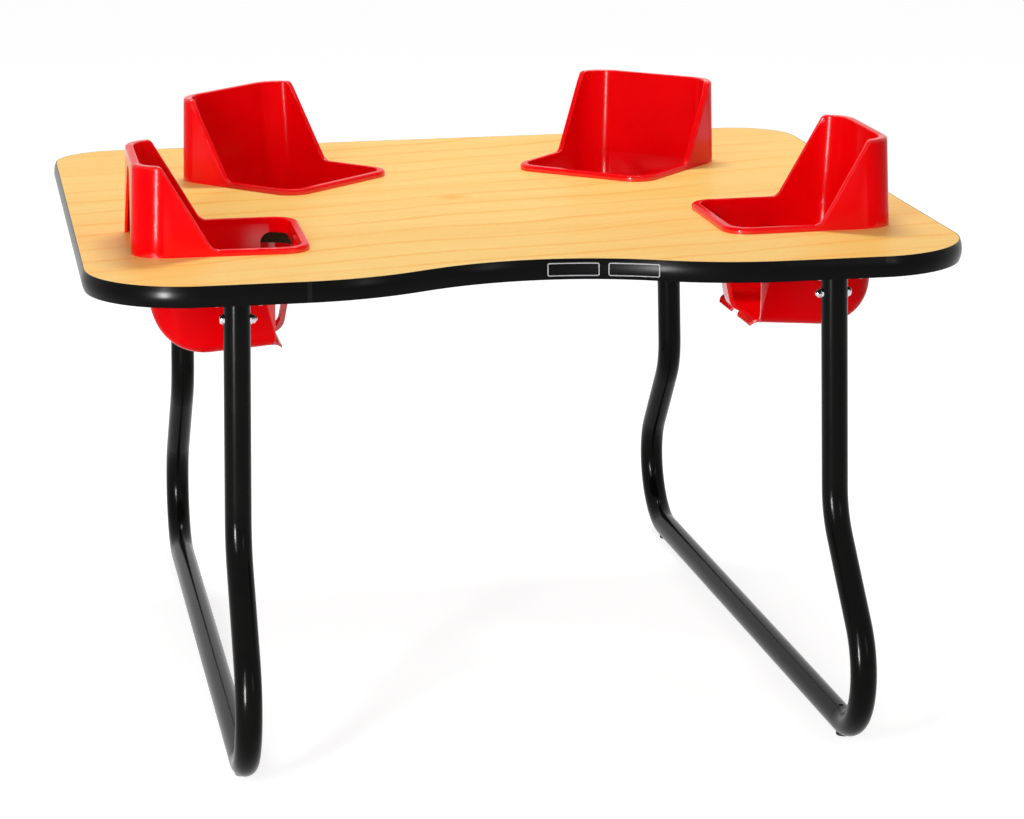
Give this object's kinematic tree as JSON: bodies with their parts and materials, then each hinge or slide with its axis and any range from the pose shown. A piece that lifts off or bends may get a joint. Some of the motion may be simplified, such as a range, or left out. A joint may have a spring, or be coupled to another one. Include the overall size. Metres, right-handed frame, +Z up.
{
  "type": "toddler table with built-in seats",
  "caption": "Low group table with a bay in the front edge, moulded bucket seats set into cut-outs in the maple-faced top, and bent-tube leg frames on floor glides.",
  "frame": {"origin": "centre of the bounding box at floor level, z = 0 under the floor glides", "axes": "+X to the right seen from the bay side, +Y from the bay side to the back, +Z up"},
  "size_m": [1.2728, 1.3218, 0.845],
  "materials": {
    "board_core": "particle board",
    "maple_laminate": "satin maple-pattern laminate",
    "backing": "matt balancing sheet",
    "black_moulding": "satin black T-moulding",
    "plate": "black field with bright border",
    "seat_plastic": "glossy moulded red",
    "tube_paint": "gloss black enamel",
    "socket_paint": "gloss black enamel",
    "screw_steel": "zinc plated",
    "chrome": "bright plated",
    "glide_nylon": "black nylon"
  },
  "bodies": {
    "root": {"core_board": "board_core", "top_laminate": "maple_laminate", "backing_sheet": "backing", "edge_band": "black_moulding", "information_plate_left": "plate", "information_plate_right": "plate", "seat_side_left": "seat_plastic", "seat_side_right": "seat_plastic", "seat_back_left": "seat_plastic", "seat_back_right": "seat_plastic", "leg_frame_left": "tube_paint", "leg_frame_right": "tube_paint", "leg_socket_front_left": "socket_paint", "leg_socket_front_right": "socket_paint", "leg_socket_back_left": "socket_paint", "leg_socket_back_right": "socket_paint", "socket_screws": "screw_steel", "cross_bolts": "chrome", "cap_nuts": "chrome", "bolt_washers": "chrome", "floor_glides": "glide_nylon"}
  },
  "joints": []
}
